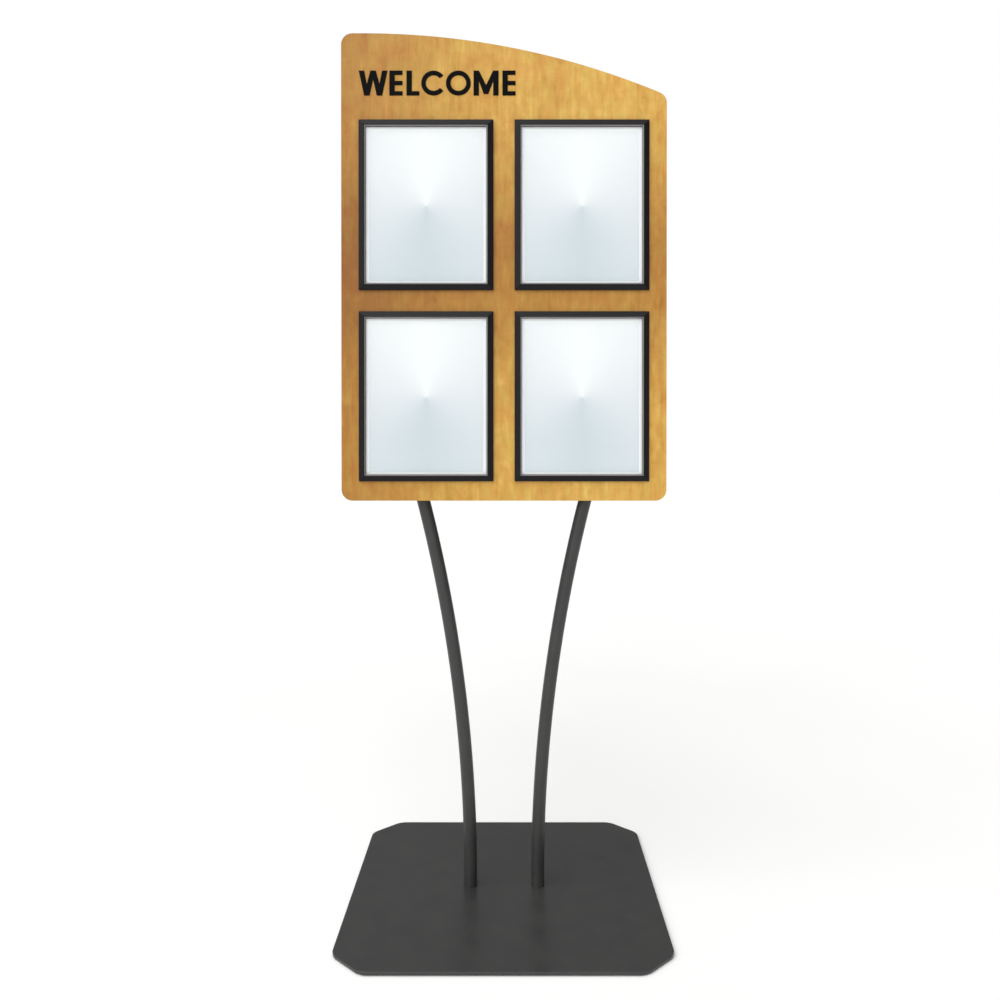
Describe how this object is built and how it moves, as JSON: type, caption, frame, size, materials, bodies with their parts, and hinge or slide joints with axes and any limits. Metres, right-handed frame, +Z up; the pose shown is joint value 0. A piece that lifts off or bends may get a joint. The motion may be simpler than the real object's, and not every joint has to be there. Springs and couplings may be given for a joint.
{
  "type": "floor sign stand",
  "caption": "Floor-standing wood-faced sign panel on curved twin poles and a flat clipped-corner base, with pull-off literature frames and a raised greeting.",
  "frame": {"origin": "on the floor, under the centre of the stand's bounding box, midway between the poles", "axes": "+Z up; the sign faces -Y; +X to the right as the reader sees it"},
  "size_m": [0.5842, 0.56, 1.5562],
  "materials": {
    "charcoal_steel": "satin charcoal powder coat",
    "zinc_steel": "bright zinc plate",
    "pad_rubber": "matte",
    "cap_plastic": "fine matte",
    "core_board": "raw medium density fibreboard",
    "wood_laminate": "satin wood-grain laminate",
    "letter_black": "satin",
    "tray_plastic": "fine matte",
    "printed_card": "matte printed card",
    "frame_black": "satin black",
    "clear_acrylic": "clear polished"
  },
  "bodies": {
    "stand": {"base_plate": "charcoal_steel", "pad_front_left": "pad_rubber", "pad_front_right": "pad_rubber", "pad_back_left": "pad_rubber", "pad_back_right": "pad_rubber", "pole_left": "charcoal_steel", "foot_plug_left": "zinc_steel", "foot_bolt_left": "zinc_steel", "pole_cap_left": "cap_plastic", "pole_right": "charcoal_steel", "foot_plug_right": "zinc_steel", "foot_bolt_right": "zinc_steel", "pole_cap_right": "cap_plastic", "mounting_bar_lower": "charcoal_steel", "panel_bolt_lower_left": "zinc_steel", "panel_bolt_lower_right": "zinc_steel", "mounting_bar_upper": "charcoal_steel", "panel_bolt_upper_left": "zinc_steel", "panel_bolt_upper_right": "zinc_steel", "panel_core": "core_board", "panel_edge_band": "wood_laminate", "panel_back_skin": "wood_laminate", "panel_front_skin": "wood_laminate", "letter_1_W": "letter_black", "letter_2_E": "letter_black", "letter_3_L": "letter_black", "letter_4_C": "letter_black", "letter_5_O": "letter_black", "letter_6_M": "letter_black", "letter_7_E": "letter_black", "upper_left_tray": "tray_plastic", "upper_left_insert": "printed_card", "upper_right_tray": "tray_plastic", "upper_right_insert": "printed_card", "lower_left_tray": "tray_plastic", "lower_left_insert": "printed_card", "lower_right_tray": "tray_plastic", "lower_right_insert": "printed_card"},
    "cover_upper_left": {"upper_left_rail_bottom": "frame_black", "upper_left_rail_left": "frame_black", "upper_left_rail_top": "frame_black", "upper_left_rail_right": "frame_black", "upper_left_lens": "clear_acrylic"},
    "cover_upper_right": {"upper_right_rail_bottom": "frame_black", "upper_right_rail_left": "frame_black", "upper_right_rail_top": "frame_black", "upper_right_rail_right": "frame_black", "upper_right_lens": "clear_acrylic"},
    "cover_lower_left": {"lower_left_rail_bottom": "frame_black", "lower_left_rail_left": "frame_black", "lower_left_rail_top": "frame_black", "lower_left_rail_right": "frame_black", "lower_left_lens": "clear_acrylic"},
    "cover_lower_right": {"lower_right_rail_bottom": "frame_black", "lower_right_rail_left": "frame_black", "lower_right_rail_top": "frame_black", "lower_right_rail_right": "frame_black", "lower_right_lens": "clear_acrylic"}
  },
  "joints": [
    {"name": "cover_upper_left_pull", "type": "slide", "parent": "stand", "child": "cover_upper_left", "axis": [0, -1, 0], "range_m": [0, 0.06]},
    {"name": "cover_upper_right_pull", "type": "slide", "parent": "stand", "child": "cover_upper_right", "axis": [0, -1, 0], "range_m": [0, 0.06]},
    {"name": "cover_lower_left_pull", "type": "slide", "parent": "stand", "child": "cover_lower_left", "axis": [0, -1, 0], "range_m": [0, 0.06]},
    {"name": "cover_lower_right_pull", "type": "slide", "parent": "stand", "child": "cover_lower_right", "axis": [0, -1, 0], "range_m": [0, 0.06]}
  ]
}
